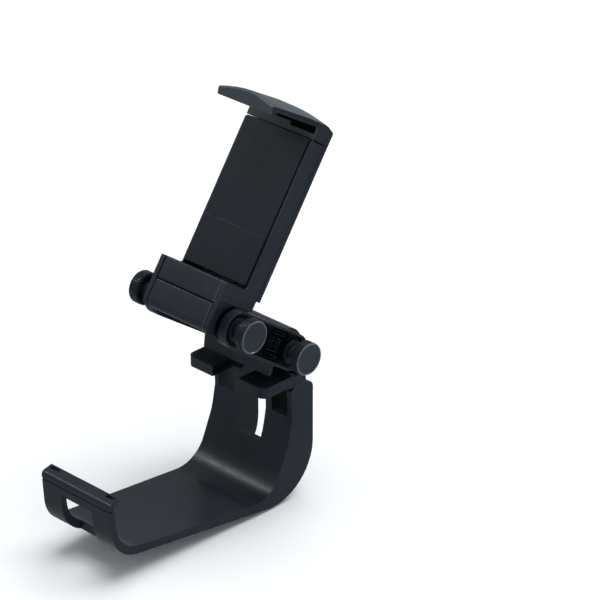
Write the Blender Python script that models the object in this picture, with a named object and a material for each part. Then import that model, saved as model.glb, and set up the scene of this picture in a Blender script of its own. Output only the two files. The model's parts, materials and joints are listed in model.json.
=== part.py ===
"""Clip that holds a phone above a game controller.

A C-shaped bracket wraps the controller from its front edge, under it and up behind it.
A short H-shaped arm is clamped to the bracket's head by two thumb knobs, and carries a
sprung phone holder that is clamped by two more. X is across the clip, -Y is towards the
player and +Z is up. The origin is the middle of the seat under the controller.
"""
import math

import bmesh
import bpy
from mathutils import Matrix, Vector

MM = 0.001

# Bracket, measured in the side view from the lower hinge: backwards and upwards
HINGE_BACK = 46.0 * MM
HINGE_RISE = 55.5 * MM
FLOOR_TILT = math.radians(7.3)
FLOOR_WALL = 3.35 * MM
LIP_WIDTH = 35.8 * MM
REAR_WIDTH = 41.2 * MM
TAPER_START = 18.0 * MM
LIP_FRONT = 91.9 * MM
LIP_TOP = 28.8 * MM
LIP_LEAN = math.radians(4.1)
LIP_DRAFT = math.radians(6.0)
LIP_WALL = 2.2 * MM
FLANGE_DEPTH = 5.5 * MM
FLANGE_WALL = 1.1 * MM
FLANGE_RISE = 0.9 * MM
FRONT_BEND = 15.0 * MM
REAR_FACE = 11.1 * MM
REAR_BEND = 28.6 * MM
INNER_BEND = 14.0 * MM
INNER_LEAN = math.radians(23.5)
KNEE = (-2.2 * MM, -38.5 * MM)
KNEE_BEND = 30.0 * MM
CREASE = (-0.3 * MM, -28.7 * MM)
SKIN = 2.4 * MM
WALL_TOP = 15.7 * MM
SHOULDER_ROUND = 3.0 * MM
STRIP_FRONT = -0.8 * MM
STRIP_WALL = 4.0 * MM
TAB_REACH = 15.0 * MM
TAB_TOP = 10.5 * MM
TAB_WALL = 4.3 * MM
TAB_CORNER = 2.4 * MM
SIDE_WALL = 2.2 * MM
RIB_WALL = 1.5 * MM
RIB_GAP = 17.0 * MM
BAND_WALL = 2.8 * MM
BAND_HEIGHT = 2.7 * MM
CHANNEL_FRONT = 22.0 * MM
CABLE_SLOT = 13.5 * MM
CABLE_SLOT_DROP = 41.0 * MM
LIP_WINDOW = (18.0 * MM, 9.0 * MM)
LIP_WINDOW_DROP = 36.0 * MM
PEG_HOLE = (4.4 * MM, 1.5 * MM)
PEG_HOLE_OUT = 14.8 * MM
NICK = 1.5 * MM
NICK_OUT = 10.8 * MM
NICK_DROP = 39.5 * MM

# Head with the lower hinge
HEAD_WIDTH = 34.4 * MM
HEAD_RADIUS = 8.3 * MM
HEAD_FLOOR = 5.0 * MM
HEAD_PLATE = 2.6 * MM
HEAD_LIP = (9.3 * MM, 8.0 * MM)
HEAD_LIP_WALL = 1.5 * MM

# Clamping hardware
CLEARANCE = 0.3 * MM
STUD_RADIUS = 1.5 * MM
STUD_REACH = 18.0 * MM
NUT_ACROSS = 5.5 * MM
NUT_THICK = 2.4 * MM
NUT_INSET = 2.4 * MM
WASHER_RADIUS = 4.6 * MM
WASHER_WALL = 0.8 * MM
KNOB_RADIUS = 6.3 * MM
KNOB_WALL = 4.2 * MM
KNOB_NECK = 2.8 * MM
KNOB_STAND = 4.0 * MM
KNOB_TEETH = 36
KNURL = 0.22 * MM

# Arm
ARM_LENGTH = 34.8 * MM
ARM_RISE = math.radians(35.0)
ARM_RADIUS = 7.2 * MM
ARM_GAP = 35.2 * MM
ARM_WALL = 3.6 * MM
ARM_DISH = 1.6 * MM
ARM_RIM = 0.9 * MM
ARM_PAD = 1.8 * MM
ARM_PAD_REACH = 9.0 * MM
BLOCK_START = 8.5 * MM
BLOCK_SIZE = (8.5 * MM, 4.4 * MM)
BLOCK_RISE = 1.0 * MM
ARM_SLOT = 1.2 * MM
BAR_START = 9.0 * MM
BAR_LENGTH = 11.0 * MM
BAR_WALL = 3.6 * MM

# Phone holder, measured from the upper hinge: backwards and up the panel
HOLDER_WIDTH = 34.0 * MM
HOLDER_DEPTH = 7.7 * MM
HOLDER_TOP = 74.0 * MM
CHEEK_WALL = 2.0 * MM
CHEEK_RECESS = 1.5 * MM
CHEEK_EDGE = 7.5 * MM
CHEEK_RIM = 1.2 * MM
CHEEK_GAP = 0.5 * MM
BACK_WALL = 1.3 * MM
FOOT_FRONT = 12.2 * MM
FOOT_TOP = 14.5 * MM
FOOT_DROP = 5.3 * MM
FOOT_ROUND = 3.0 * MM
CREASE_UP = 5.8 * MM
COVER_WALL = 1.3 * MM
COVER_BACK = 3.0 * MM
SHELF_BACK = 0.7 * MM
PANEL_SINK = 0.7 * MM
PANEL_WALL = 1.5 * MM
PANEL_GAP = 0.5 * MM
PANEL_EDGE = 0.7 * MM
GUIDE_SLOT = 5.8 * MM

# Sprung jaw
JAW_WIDTH = 34.6 * MM
JAW_PLATE = 1.9 * MM
JAW_PLATE_BOTTOM = 12.0 * MM
JAW_RISE = 7.5 * MM
JAW_PEAK = 5.0 * MM
JAW_REACH = 18.0 * MM
JAW_FALL = 1.8 * MM
JAW_LIP = 2.8 * MM
JAW_LIP_WALL = 1.5 * MM
JAW_WALL = 1.5 * MM
JAW_CROWN = 1.9 * MM
JAW_POINT = 2.6 * MM
TONGUE_DROP = 33.0 * MM
TONGUE_HEIGHT = 8.0 * MM
YOKE_WIDTH = 19.0 * MM
YOKE_HEIGHT = 3.0 * MM
YOKE_WALL = 1.5 * MM
SPRING_OUT = 7.0 * MM
SPRING_WIRE = 0.28 * MM
SPRING_TURNS = 12

# Sizes that follow from the ones above
REAR_HALF = REAR_WIDTH / 2
WALL_INNER = REAR_HALF - SIDE_WALL
HEAD_HALF = HEAD_WIDTH / 2
HOLDER_HALF = HOLDER_WIDTH / 2
CORE_HALF = HOLDER_HALF - CHEEK_RECESS
ARM_INNER = ARM_GAP / 2
ARM_OUTER = ARM_INNER + ARM_WALL
DISH_FLOOR = ARM_OUTER - ARM_DISH
WASHER_START = DISH_FLOOR + CLEARANCE
NECK_START = WASHER_START + WASHER_WALL + CLEARANCE
KNOB_BACK = ARM_OUTER + KNOB_STAND
KNOB_FACE = KNOB_BACK + KNOB_WALL
STUD_END = KNOB_FACE - 2.0 * MM
COVER_HALF = HOLDER_HALF - CHEEK_WALL - CHEEK_GAP
CORE_FRONT = FOOT_FRONT - COVER_WALL - CLEARANCE
CORE_DROP = FOOT_DROP - COVER_WALL - CLEARANCE
WEB_FRONT = HOLDER_DEPTH - BACK_WALL
PANEL_BACK = PANEL_SINK + PANEL_WALL
JAW_TOP = HOLDER_TOP + JAW_RISE
TONGUE_BOTTOM = HOLDER_TOP - TONGUE_DROP
SEAT = Vector((-HINGE_BACK, -HINGE_RISE))
FLOOR_DIR = Vector((math.cos(FLOOR_TILT), -math.sin(FLOOR_TILT)))
FLOOR_DOWN = Vector((-math.sin(FLOOR_TILT), -math.cos(FLOOR_TILT)))
UPRIGHT = Vector((0.0, 1.0))
BEYOND = 20 * MM


def clear_scene():
    for item in list(bpy.data.objects):
        bpy.data.objects.remove(item, do_unlink=True)


def new_collection(name):
    group = bpy.data.collections.new(name)
    bpy.context.scene.collection.children.link(group)
    return group


def make_material(name, color, roughness, metallic=0.0):
    material = bpy.data.materials.new(name)
    material.use_nodes = True
    shader = material.node_tree.nodes["Principled BSDF"]
    shader.inputs["Base Color"].default_value = (*color, 1.0)
    shader.inputs["Roughness"].default_value = roughness
    shader.inputs["Metallic"].default_value = metallic
    return material


def make_pivot(name, place, turn=0.0, parent=None):
    """Empty on a joint axis, turned about X."""
    pivot = bpy.data.objects.new(name, None)
    parts.objects.link(pivot)
    pivot.location = place
    pivot.rotation_euler = (turn, 0.0, 0.0)
    pivot.parent = parent
    bpy.context.view_layer.update()
    return pivot


def rounded(corners, step=math.radians(12)):
    """Outline points from corners (across, up, radius), with each radius drawn as an arc."""
    points = []
    count = len(corners)
    for index, (across, up, radius) in enumerate(corners):
        here = Vector((across, up))
        before = Vector(corners[index - 1][:2]) - here
        after = Vector(corners[(index + 1) % count][:2]) - here
        if radius <= 0:
            points.append(here)
            continue
        half = before.angle(after) / 2
        reach = min(radius / math.tan(half), 0.48 * before.length, 0.48 * after.length)
        radius = reach * math.tan(half)
        inward = (before.normalized() + after.normalized()).normalized()
        middle = here + inward * (radius / math.sin(half))
        start = here + before.normalized() * reach - middle
        end = here + after.normalized() * reach - middle
        sweep = math.atan2(start.x * end.y - start.y * end.x, start.dot(end))
        pieces = max(2, math.ceil(abs(sweep) / step))
        for piece in range(pieces + 1):
            points.append(middle + Matrix.Rotation(sweep * piece / pieces, 2) @ start)
    return points


def arc(across, up, radius, start, end, pieces):
    """Points of an arc between two angles in degrees."""
    angles = [math.radians(start + (end - start) * index / pieces) for index in range(pieces + 1)]
    return [Vector((across + radius * math.cos(a), up + radius * math.sin(a))) for a in angles]


def stadium(reach, radius):
    """Outline of a round-ended bar from the origin towards -Y."""
    return arc(0, 0, radius, -90, 90, 14) + arc(-reach, 0, radius, 90, 270, 14)


def make_slab(name, outline, low, high, pivot, plan=False):
    """Outline in the side view (or in plan), as thick as low to high across it."""
    curve = bpy.data.curves.new(name, "CURVE")
    curve.dimensions = "2D"
    curve.fill_mode = "BOTH"
    curve.extrude = abs(high - low) / 2
    spline = curve.splines.new("POLY")
    spline.points.add(len(outline) - 1)
    for point, place in zip(spline.points, outline):
        point.co = (place[0], place[1], 0.0, 1.0)
    spline.use_cyclic_u = True
    drawn = bpy.data.objects.new(name, curve)
    parts.objects.link(drawn)
    bpy.context.view_layer.update()
    mesh = bpy.data.meshes.new_from_object(drawn.evaluated_get(bpy.context.evaluated_depsgraph_get()))
    bpy.data.objects.remove(drawn, do_unlink=True)
    bpy.data.curves.remove(curve)
    middle = (low + high) / 2
    side_view = Matrix(((0, 0, 1, middle), (1, 0, 0, 0), (0, 1, 0, 0), (0, 0, 0, 1)))
    mesh.transform(Matrix.Translation((0, 0, middle)) if plan else side_view)
    return make_object(name, mesh, pivot)


def make_object(name, mesh, pivot):
    """Object from a mesh given in its pivot's axes, welded and facing out."""
    build = bmesh.new()
    build.from_mesh(mesh)
    bmesh.ops.remove_doubles(build, verts=build.verts, dist=0.001 * MM)
    bmesh.ops.dissolve_limit(build, angle_limit=math.radians(0.2), verts=build.verts, edges=build.edges)
    bmesh.ops.recalc_face_normals(build, faces=build.faces)
    build.to_mesh(mesh)
    build.free()
    mesh.name = name
    item = bpy.data.objects.new(name, mesh)
    parts.objects.link(item)
    item.parent = pivot
    return item


def make_block(name, low, high, pivot):
    """Box between two corners, in its pivot's axes."""
    build = bmesh.new()
    bmesh.ops.create_cube(build, size=1.0)
    for vert in build.verts:
        vert.co = [(a + b) / 2 + side * abs(b - a) for a, b, side in zip(low, high, vert.co)]
    mesh = bpy.data.meshes.new(name)
    build.to_mesh(mesh)
    build.free()
    return make_object(name, mesh, pivot)


def make_rod(name, radius, low, high, pivot, sides=24, turn=0.0):
    """Round or polygonal bar along X on its pivot's axis."""
    build = bmesh.new()
    bmesh.ops.create_cone(build, cap_ends=True, segments=sides, radius1=radius, radius2=radius,
                          depth=abs(high - low))
    place = (Matrix.Translation(((low + high) / 2, 0, 0)) @ Matrix.Rotation(turn, 4, "X")
             @ Matrix.Rotation(math.pi / 2, 4, "Y"))
    bmesh.ops.transform(build, matrix=place, verts=build.verts)
    mesh = bpy.data.meshes.new(name)
    build.to_mesh(mesh)
    build.free()
    return make_object(name, mesh, pivot)


def combine(target, other, operation):
    """Boolean of two pieces that keeps the second as a hidden guide."""
    step = target.modifiers.new(f"{operation.title()} {other.name}", "BOOLEAN")
    step.operation = operation
    step.solver = "EXACT"
    step.object = other
    for group in list(other.users_collection):
        group.objects.unlink(other)
    cutters.objects.link(other)
    other.hide_render = True
    other.display_type = "WIRE"


def cut(target, *others):
    for other in others:
        combine(target, other, "DIFFERENCE")


def add(target, *others):
    for other in others:
        combine(target, other, "UNION")


def paint(item, material):
    item.data.materials.clear()
    item.data.materials.append(material)


def crossing(start_a, dir_a, start_b, dir_b):
    """Where two lines of the side view cross."""
    across = dir_a.x * dir_b.y - dir_a.y * dir_b.x
    offset = start_b - start_a
    return start_a + dir_a * ((offset.x * dir_b.y - offset.y * dir_b.x) / across)


def leaning(angle):
    """Direction downwards and leaning back by an angle."""
    return Vector((math.sin(angle), -math.cos(angle)))


def bracket_outline():
    """Side view of the bracket: lip, floor, rear bend and shoulder."""
    lip_top = Vector((-LIP_FRONT, -LIP_TOP))
    lip_inner = lip_top + Vector((LIP_WALL, -FLANGE_WALL))
    under = SEAT + FLOOR_DOWN * FLOOR_WALL
    front_low = crossing(lip_top, leaning(LIP_LEAN), under, FLOOR_DIR)
    rear_low = crossing(Vector((REAR_FACE, 0)), UPRIGHT, under, FLOOR_DIR)
    inner_rear = crossing(Vector(KNEE), leaning(-INNER_LEAN), SEAT, FLOOR_DIR)
    inner_front = crossing(lip_inner, leaning(LIP_DRAFT), SEAT, FLOOR_DIR)
    tip = -LIP_FRONT + FLANGE_DEPTH
    return rounded([
        (*lip_top, 1.2 * MM),
        (*front_low, FRONT_BEND),
        (*rear_low, REAR_BEND),
        (REAR_FACE, -WALL_TOP, SHOULDER_ROUND),
        (STRIP_FRONT, -WALL_TOP, 2.4 * MM),
        (*CREASE, 0),
        (*KNEE, KNEE_BEND),
        (*inner_rear, INNER_BEND),
        (*inner_front, FRONT_BEND - LIP_WALL),
        (*lip_inner, 0.5 * MM),
        (tip, -LIP_TOP - FLANGE_WALL * 0.7 + FLANGE_RISE, 0),
        (tip, -LIP_TOP + FLANGE_RISE, 0),
    ])


def channel_outline():
    """Side view of a rear channel: everything behind the skin, up to the band under the head."""
    crease = Vector(CREASE) + Vector((SKIN, 0))
    along_knee = Vector(KNEE) - Vector(CREASE)
    knee_start = Vector(CREASE) + Vector((-along_knee.y, along_knee.x)).normalized() * SKIN
    lean = leaning(-INNER_LEAN)
    rear_start = Vector(KNEE) + Vector((-lean.y, lean.x)) * SKIN
    floor_start = SEAT + FLOOR_DOWN * SKIN
    knee = crossing(knee_start, along_knee, rear_start, lean)
    corner = crossing(rear_start, lean, floor_start, FLOOR_DIR)
    front = crossing(Vector((-CHANNEL_FRONT, 0)), UPRIGHT, floor_start, FLOOR_DIR)
    band_front = REAR_FACE - BAND_WALL
    band_low = -WALL_TOP - BAND_HEIGHT
    return rounded([
        (STRIP_FRONT + STRIP_WALL, -WALL_TOP + BEYOND, 0),
        (STRIP_FRONT + STRIP_WALL, band_low, 0),
        (*crease, 0),
        (*knee, KNEE_BEND + SKIN),
        (*corner, INNER_BEND + SKIN),
        (*front, 0),
        (front.x, front.y - BEYOND, 0),
        (REAR_FACE + BEYOND, front.y - BEYOND, 0),
        (REAR_FACE + BEYOND, band_low, 0),
        (band_front, band_low, 0),
        (band_front, -WALL_TOP + BEYOND, 0),
    ])


def taper(item):
    """Narrows the bracket evenly from its rear to its lip."""
    build = bmesh.new()
    build.from_mesh(item.data)
    bmesh.ops.bisect_plane(build, geom=build.verts[:] + build.edges[:] + build.faces[:],
                           dist=0.001 * MM, plane_co=(0, -TAPER_START, 0), plane_no=(0, 1, 0))
    rate = (1 - LIP_WIDTH / REAR_WIDTH) / (LIP_FRONT - TAPER_START)
    for vert in build.verts:
        vert.co.x *= 1 - rate * max(0.0, -vert.co.y - TAPER_START)
    build.to_mesh(item.data)
    build.free()


def hinge_cuts(owner, side, half, pivot, bottom):
    """Stud bore and drop-in nut slot in one end of a hinge."""
    bore = make_rod(f"{owner.name}_bore", STUD_RADIUS + CLEARANCE, side * (half + 2 * MM),
                    side * (STUD_END - STUD_REACH - 1.0 * MM), pivot)
    outer = half - NUT_INSET + CLEARANCE
    inner = half - NUT_INSET - NUT_THICK - CLEARANCE
    low, high = sorted((side * inner, side * outer))
    flat = NUT_ACROSS / 2 + CLEARANCE
    slot = make_block(f"{owner.name}_nut_slot", (low, -flat, bottom),
                      (high, flat, NUT_ACROSS / math.sqrt(3) + CLEARANCE), pivot)
    cut(owner, bore, slot)


def make_bracket():
    bracket = make_slab("controller_bracket", bracket_outline(), -REAR_HALF, REAR_HALF, lower_pivot)
    taper(bracket)
    channel = channel_outline()
    rib_outer = RIB_GAP / 2 + RIB_WALL
    cut(bracket, make_slab("channel_middle", channel, -RIB_GAP / 2, RIB_GAP / 2, lower_pivot))
    for side in (-1, 1):
        low, high = sorted((side * rib_outer, side * WALL_INNER))
        cut(bracket, make_slab("channel_side", channel, low, high, lower_pivot))
    tab_half = WALL_INNER + CLEARANCE
    strip_back = STRIP_FRONT + STRIP_WALL
    strip = rounded([
        (STRIP_FRONT, -TAB_TOP, 0),
        (STRIP_FRONT + 0.05 * MM, -WALL_TOP - BAND_HEIGHT, 0),
        (strip_back, -WALL_TOP - BAND_HEIGHT + 0.1 * MM, 0),
        (strip_back, -TAB_TOP, SHOULDER_ROUND),
    ])
    tabs = rounded([
        (-tab_half, -TAB_REACH, TAB_CORNER),
        (tab_half, -TAB_REACH, TAB_CORNER),
        (tab_half, STRIP_FRONT + 1.0 * MM, 0),
        (-tab_half, STRIP_FRONT + 1.0 * MM, 0),
    ])
    add(bracket, make_slab("strip", strip, -tab_half, tab_half, lower_pivot))
    add(bracket, make_slab("tabs", tabs, -TAB_TOP - TAB_WALL, -TAB_TOP, lower_pivot, plan=True))
    for side in (-1, 1):
        low, high = sorted((side * rib_outer, side * WALL_INNER))
        cut(bracket, make_block("skin_window", (low, -TAB_REACH - 5 * MM, CREASE[1] + 0.2 * MM),
                                (high, strip_back + 1 * MM, -TAB_TOP - TAB_WALL), lower_pivot))
    add_head(bracket)
    cut(bracket, make_block("cable_slot", (-CABLE_SLOT / 2, -TAB_REACH - 5 * MM, -CABLE_SLOT_DROP),
                            (CABLE_SLOT / 2, strip_back + 2 * MM, -TAB_TOP + 1 * MM), lower_pivot))
    cut_lip(bracket)
    for side in (-1, 1):
        hinge_cuts(bracket, side, HEAD_HALF, lower_pivot, -HEAD_FLOOR - 2 * MM)
    paint(bracket, plastic)


def add_head(bracket):
    """Hinge barrel with a front lip, on a rear plate that stands on the band."""
    lip_front, lip_low = HEAD_LIP
    foot = -WALL_TOP - BAND_HEIGHT / 2
    outline = arc(0, 0, HEAD_RADIUS, 0, 180, 18) + [
        Vector((-lip_front, -lip_low)),
        Vector((-lip_front + HEAD_LIP_WALL, -lip_low)),
        Vector((-HEAD_RADIUS + HEAD_LIP_WALL, -HEAD_FLOOR)),
        Vector((HEAD_RADIUS - HEAD_PLATE, -HEAD_FLOOR)),
        Vector((REAR_FACE - BAND_WALL + 0.1 * MM, foot)),
        Vector((REAR_FACE - 0.2 * MM, foot)),
    ]
    add(bracket, make_slab("head", outline, -HEAD_HALF, HEAD_HALF, lower_pivot))


def cut_lip(bracket):
    """Window, peg holes and small square pockets of the front lip."""
    front = -LIP_FRONT - 4 * MM
    width, height = LIP_WINDOW
    window = make_block("lip_window", (-width / 2, front, -LIP_WINDOW_DROP - height),
                        (width / 2, -LIP_FRONT + 10 * MM, -LIP_WINDOW_DROP), lower_pivot)
    cut(bracket, window)
    middle = -LIP_FRONT + (LIP_WALL + FLANGE_DEPTH) / 2
    for side in (-1, 1):
        place = side * PEG_HOLE_OUT
        hole = make_block("peg_hole", (place - PEG_HOLE[0] / 2, middle - PEG_HOLE[1] / 2, -LIP_TOP - 4 * MM),
                          (place + PEG_HOLE[0] / 2, middle + PEG_HOLE[1] / 2, -LIP_TOP + 4 * MM), lower_pivot)
        inner = -LIP_FRONT + LIP_WALL + (NICK_DROP - LIP_TOP) * math.tan(LIP_DRAFT)
        nick = make_block("nick", (side * NICK_OUT - NICK / 2, inner - 1.2 * MM, -NICK_DROP - NICK),
                          (side * NICK_OUT + NICK / 2, inner + 4 * MM, -NICK_DROP), lower_pivot)
        cut(bracket, hole, nick)


def make_plate(name, side):
    """Side plate of the arm, with the pad that the holder's cheek stops against."""
    low, high = sorted((side * ARM_INNER, side * ARM_OUTER))
    plate = make_slab(name, stadium(ARM_LENGTH, ARM_RADIUS), low, high, arm_pivot)
    low, high = sorted((side * (ARM_INNER - ARM_PAD), side * (ARM_INNER + 0.5 * MM)))
    radius = ARM_RADIUS - 0.1 * MM
    end = -ARM_LENGTH + ARM_PAD_REACH
    outline = arc(-ARM_LENGTH, 0, radius, 97, 263, 12) + [Vector((end, -radius)), Vector((end, radius))]
    add(plate, make_slab("arm_pad", outline, low, high, arm_pivot))
    return plate


def cut_plate(arm, side):
    """Dish with its raised block and slots, and the stud holes, of one side plate."""
    outside = side * (ARM_OUTER + 2 * MM)
    low, high = sorted((side * DISH_FLOOR, outside))
    dish = make_slab("arm_dish", stadium(ARM_LENGTH, ARM_RADIUS - ARM_RIM), low, high, arm_pivot)
    back = -BLOCK_START - BLOCK_SIZE[0]
    half = BLOCK_SIZE[1] / 2
    low, high = sorted((side * (DISH_FLOOR - 1 * MM), side * (DISH_FLOOR + BLOCK_RISE)))
    cut(dish, make_block("arm_block", (low, back, -half), (high, -BLOCK_START, half), arm_pivot))
    cut(arm, dish)
    low, high = sorted((side * (DISH_FLOOR - ARM_DISH / 2), outside))
    for edge in (-1, 1):
        bottom, top = sorted((edge * (half - 0.1 * MM), edge * (half + ARM_SLOT)))
        cut(arm, make_block("arm_slot", (low, back + 0.2 * MM, bottom),
                            (high, -BLOCK_START - 0.2 * MM, top), arm_pivot))
    low, high = sorted((side * (ARM_INNER - ARM_PAD - 1 * MM), outside))
    for place in (0, -ARM_LENGTH):
        hole = arc(place, 0, STUD_RADIUS + CLEARANCE, 5, 350, 23)
        cut(arm, make_slab("arm_hole", hole, low, high, arm_pivot))


def make_arm():
    """H-shaped arm: a bar with a dished side plate on each end."""
    arm = make_plate("arm_frame", -1)
    end = ARM_INNER + 0.5 * MM
    top = ARM_RADIUS - 0.15 * MM
    bar = make_block("arm_bar", (-end, -BAR_START - BAR_LENGTH, top - BAR_WALL), (end, -BAR_START, top), arm_pivot)
    add(arm, bar, make_plate("arm_plate", 1))
    for side in (-1, 1):
        cut_plate(arm, side)
    paint(arm, plastic)


def make_knob(name, side, pivot):
    """Turned thumb knob with a knurled rim, a hollowed back and a neck."""
    bore = STUD_RADIUS + CLEARANCE
    profile = [
        (STUD_END + CLEARANCE, 0),
        (STUD_END + CLEARANCE, bore),
        (NECK_START, bore),
        (NECK_START, KNOB_NECK),
        (KNOB_BACK + 0.8 * MM, KNOB_NECK),
        (KNOB_BACK, KNOB_RADIUS - 0.8 * MM),
        (KNOB_BACK + 0.4 * MM, KNOB_RADIUS),
        (KNOB_FACE - 0.5 * MM, KNOB_RADIUS),
        (KNOB_FACE, KNOB_RADIUS - 0.5 * MM),
        (KNOB_FACE, 0),
    ]
    steps = 2 * KNOB_TEETH
    build = bmesh.new()
    row = [build.verts.new((x, radius, 0)) for x, radius in profile]
    edges = [build.edges.new(pair) for pair in zip(row, row[1:])]
    bmesh.ops.spin(build, geom=row + edges, cent=(0, 0, 0), axis=(1, 0, 0), angle=2 * math.pi,
                   steps=steps, use_duplicate=False)
    bmesh.ops.remove_doubles(build, verts=build.verts, dist=0.002 * MM)
    for vert in build.verts:
        radius = math.hypot(vert.co.y, vert.co.z)
        turn = round(math.atan2(vert.co.z, vert.co.y) / (2 * math.pi) * steps)
        if radius > KNOB_RADIUS - 0.1 * MM and turn % 2:
            vert.co.y *= 1 - KNURL / radius
            vert.co.z *= 1 - KNURL / radius
    bmesh.ops.scale(build, vec=(side, 1, 1), verts=build.verts)
    mesh = bpy.data.meshes.new(name)
    build.to_mesh(mesh)
    build.free()
    paint(make_object(name, mesh, pivot), plastic_light)


def make_clamp(place, end, side, half, pivot):
    """Knob, stud, captive nut and washer on one end of a hinge."""
    make_knob(f"{place}_knob_{end}", side, pivot)
    stud = make_rod(f"{place}_stud_{end}", STUD_RADIUS, side * STUD_END, side * (STUD_END - STUD_REACH), pivot)
    paint(stud, steel)
    outer = half - NUT_INSET
    nut = make_rod(f"{place}_nut_{end}", NUT_ACROSS / math.sqrt(3), side * outer, side * (outer - NUT_THICK),
                   pivot, sides=6, turn=math.pi / 2)
    cut(nut, make_rod("nut_hole", STUD_RADIUS + CLEARANCE, side * (outer + 1 * MM),
                      side * (outer - NUT_THICK - 1 * MM), pivot))
    paint(nut, steel)
    washer = make_rod(f"{place}_washer_{end}", WASHER_RADIUS, side * WASHER_START,
                      side * (WASHER_START + WASHER_WALL), pivot, sides=32)
    cut(washer, make_rod("washer_hole", STUD_RADIUS + CLEARANCE, side * (WASHER_START - 1 * MM),
                         side * (WASHER_START + WASHER_WALL + 1 * MM), pivot))
    paint(washer, steel)


def make_holder():
    """Hinge core, cheeks, side walls and back web, moulded as one."""
    core_top = CREASE_UP - CLEARANCE
    core = rounded([
        (-CORE_FRONT, core_top, 0),
        (HOLDER_DEPTH - 0.1 * MM, core_top, 0),
        (HOLDER_DEPTH - 0.1 * MM, -CORE_DROP, 4.0 * MM),
        (-CORE_FRONT, -CORE_DROP, 2.0 * MM),
    ])
    cheek_inner = HOLDER_HALF - CHEEK_WALL
    body = make_slab("holder_body", core, -cheek_inner - 0.2 * MM, cheek_inner + 0.2 * MM, holder_pivot)
    cheek = rounded([
        (-FOOT_FRONT, FOOT_TOP, 0.6 * MM),
        (0, FOOT_TOP, 1.0 * MM),
        (0, HOLDER_TOP, 0.6 * MM),
        (HOLDER_DEPTH, HOLDER_TOP, 0.6 * MM),
        (HOLDER_DEPTH, -FOOT_DROP, 5.0 * MM),
        (-FOOT_FRONT, -FOOT_DROP, FOOT_ROUND),
    ])
    recess = rounded([
        (-FOOT_FRONT + CHEEK_RIM, CHEEK_EDGE, 1.5 * MM),
        (-FOOT_FRONT + CHEEK_RIM, -FOOT_DROP - BEYOND, 0),
        (HOLDER_DEPTH + BEYOND, -FOOT_DROP - BEYOND, 0),
        (HOLDER_DEPTH + BEYOND, CHEEK_EDGE, 0),
    ])
    for side in (-1, 1):
        low, high = sorted((side * cheek_inner, side * HOLDER_HALF))
        add(body, make_slab("cheek", cheek, low, high, holder_pivot))
    for side in (-1, 1):
        low, high = sorted((side * CORE_HALF, side * (HOLDER_HALF + 2 * MM)))
        cut(body, make_slab("cheek_recess", recess, low, high, holder_pivot))
    web = make_block("back_web", (-cheek_inner - 0.2 * MM, WEB_FRONT, core_top - 2 * MM),
                     (cheek_inner + 0.2 * MM, HOLDER_DEPTH - 0.1 * MM, HOLDER_TOP - 1 * MM), holder_pivot)
    add(body, web)
    rebate_half = HOLDER_HALF - PANEL_EDGE
    rebate = make_block("panel_rebate", (-rebate_half, -2 * MM, FOOT_TOP),
                        (rebate_half, PANEL_BACK + CLEARANCE, HOLDER_TOP + 2 * MM), holder_pivot)
    slot = make_block("guide_slot", (-GUIDE_SLOT / 2, WEB_FRONT - 1 * MM, TONGUE_BOTTOM - 1 * MM),
                      (GUIDE_SLOT / 2, HOLDER_DEPTH + 1 * MM, HOLDER_TOP + 2 * MM), holder_pivot)
    cut(body, rebate, slot)
    for side in (-1, 1):
        hinge_cuts(body, side, CORE_HALF, holder_pivot, -CORE_DROP - 1 * MM)
    paint(body, plastic)


def make_foot():
    """Shelf block that the phone stands on, and the rounded cover below it."""
    shelf = rounded([
        (-FOOT_FRONT + 0.2 * MM, CREASE_UP, 0.5 * MM),
        (-FOOT_FRONT + 0.2 * MM, FOOT_TOP, 0.5 * MM),
        (SHELF_BACK, FOOT_TOP, 0),
        (SHELF_BACK, CREASE_UP, 0),
    ])
    paint(make_slab("shelf_block", shelf, -COVER_HALF, COVER_HALF, holder_pivot), plastic)
    inner_front = -FOOT_FRONT + COVER_WALL
    inner_low = -FOOT_DROP + COVER_WALL
    top = CREASE_UP - CLEARANCE
    cover = rounded([
        (-FOOT_FRONT, top, 0.5 * MM),
        (inner_front, top, 0),
        (inner_front, inner_low, FOOT_ROUND - COVER_WALL),
        (COVER_BACK, inner_low, 0),
        (COVER_BACK, -FOOT_DROP, 0),
        (-FOOT_FRONT, -FOOT_DROP, FOOT_ROUND),
    ])
    paint(make_slab("barrel_cover", cover, -COVER_HALF, COVER_HALF, holder_pivot), plastic)
    half = HOLDER_HALF - PANEL_EDGE - CLEARANCE
    panel = make_block("front_panel", (-half, PANEL_SINK, FOOT_TOP + PANEL_GAP),
                       (half, PANEL_BACK, HOLDER_TOP + 0.3 * MM), holder_pivot)
    paint(panel, plastic)


def shape_hook(item):
    """Raises the middle of the hook into a ridge and brings its front edge to a blunt point."""
    build = bmesh.new()
    build.from_mesh(item.data)
    bmesh.ops.bisect_plane(build, geom=build.verts[:] + build.edges[:] + build.faces[:],
                           dist=0.001 * MM, plane_co=(0, 0, 0), plane_no=(1, 0, 0))
    for vert in build.verts:
        middle = 1 - abs(vert.co.x) / (JAW_WIDTH / 2)
        if vert.co.z > HOLDER_TOP + 1.5 * MM:
            vert.co.z += JAW_CROWN * middle
        if vert.co.y < -JAW_REACH / 2:
            vert.co.y -= JAW_POINT * middle
    build.to_mesh(item.data)
    build.free()


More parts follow.
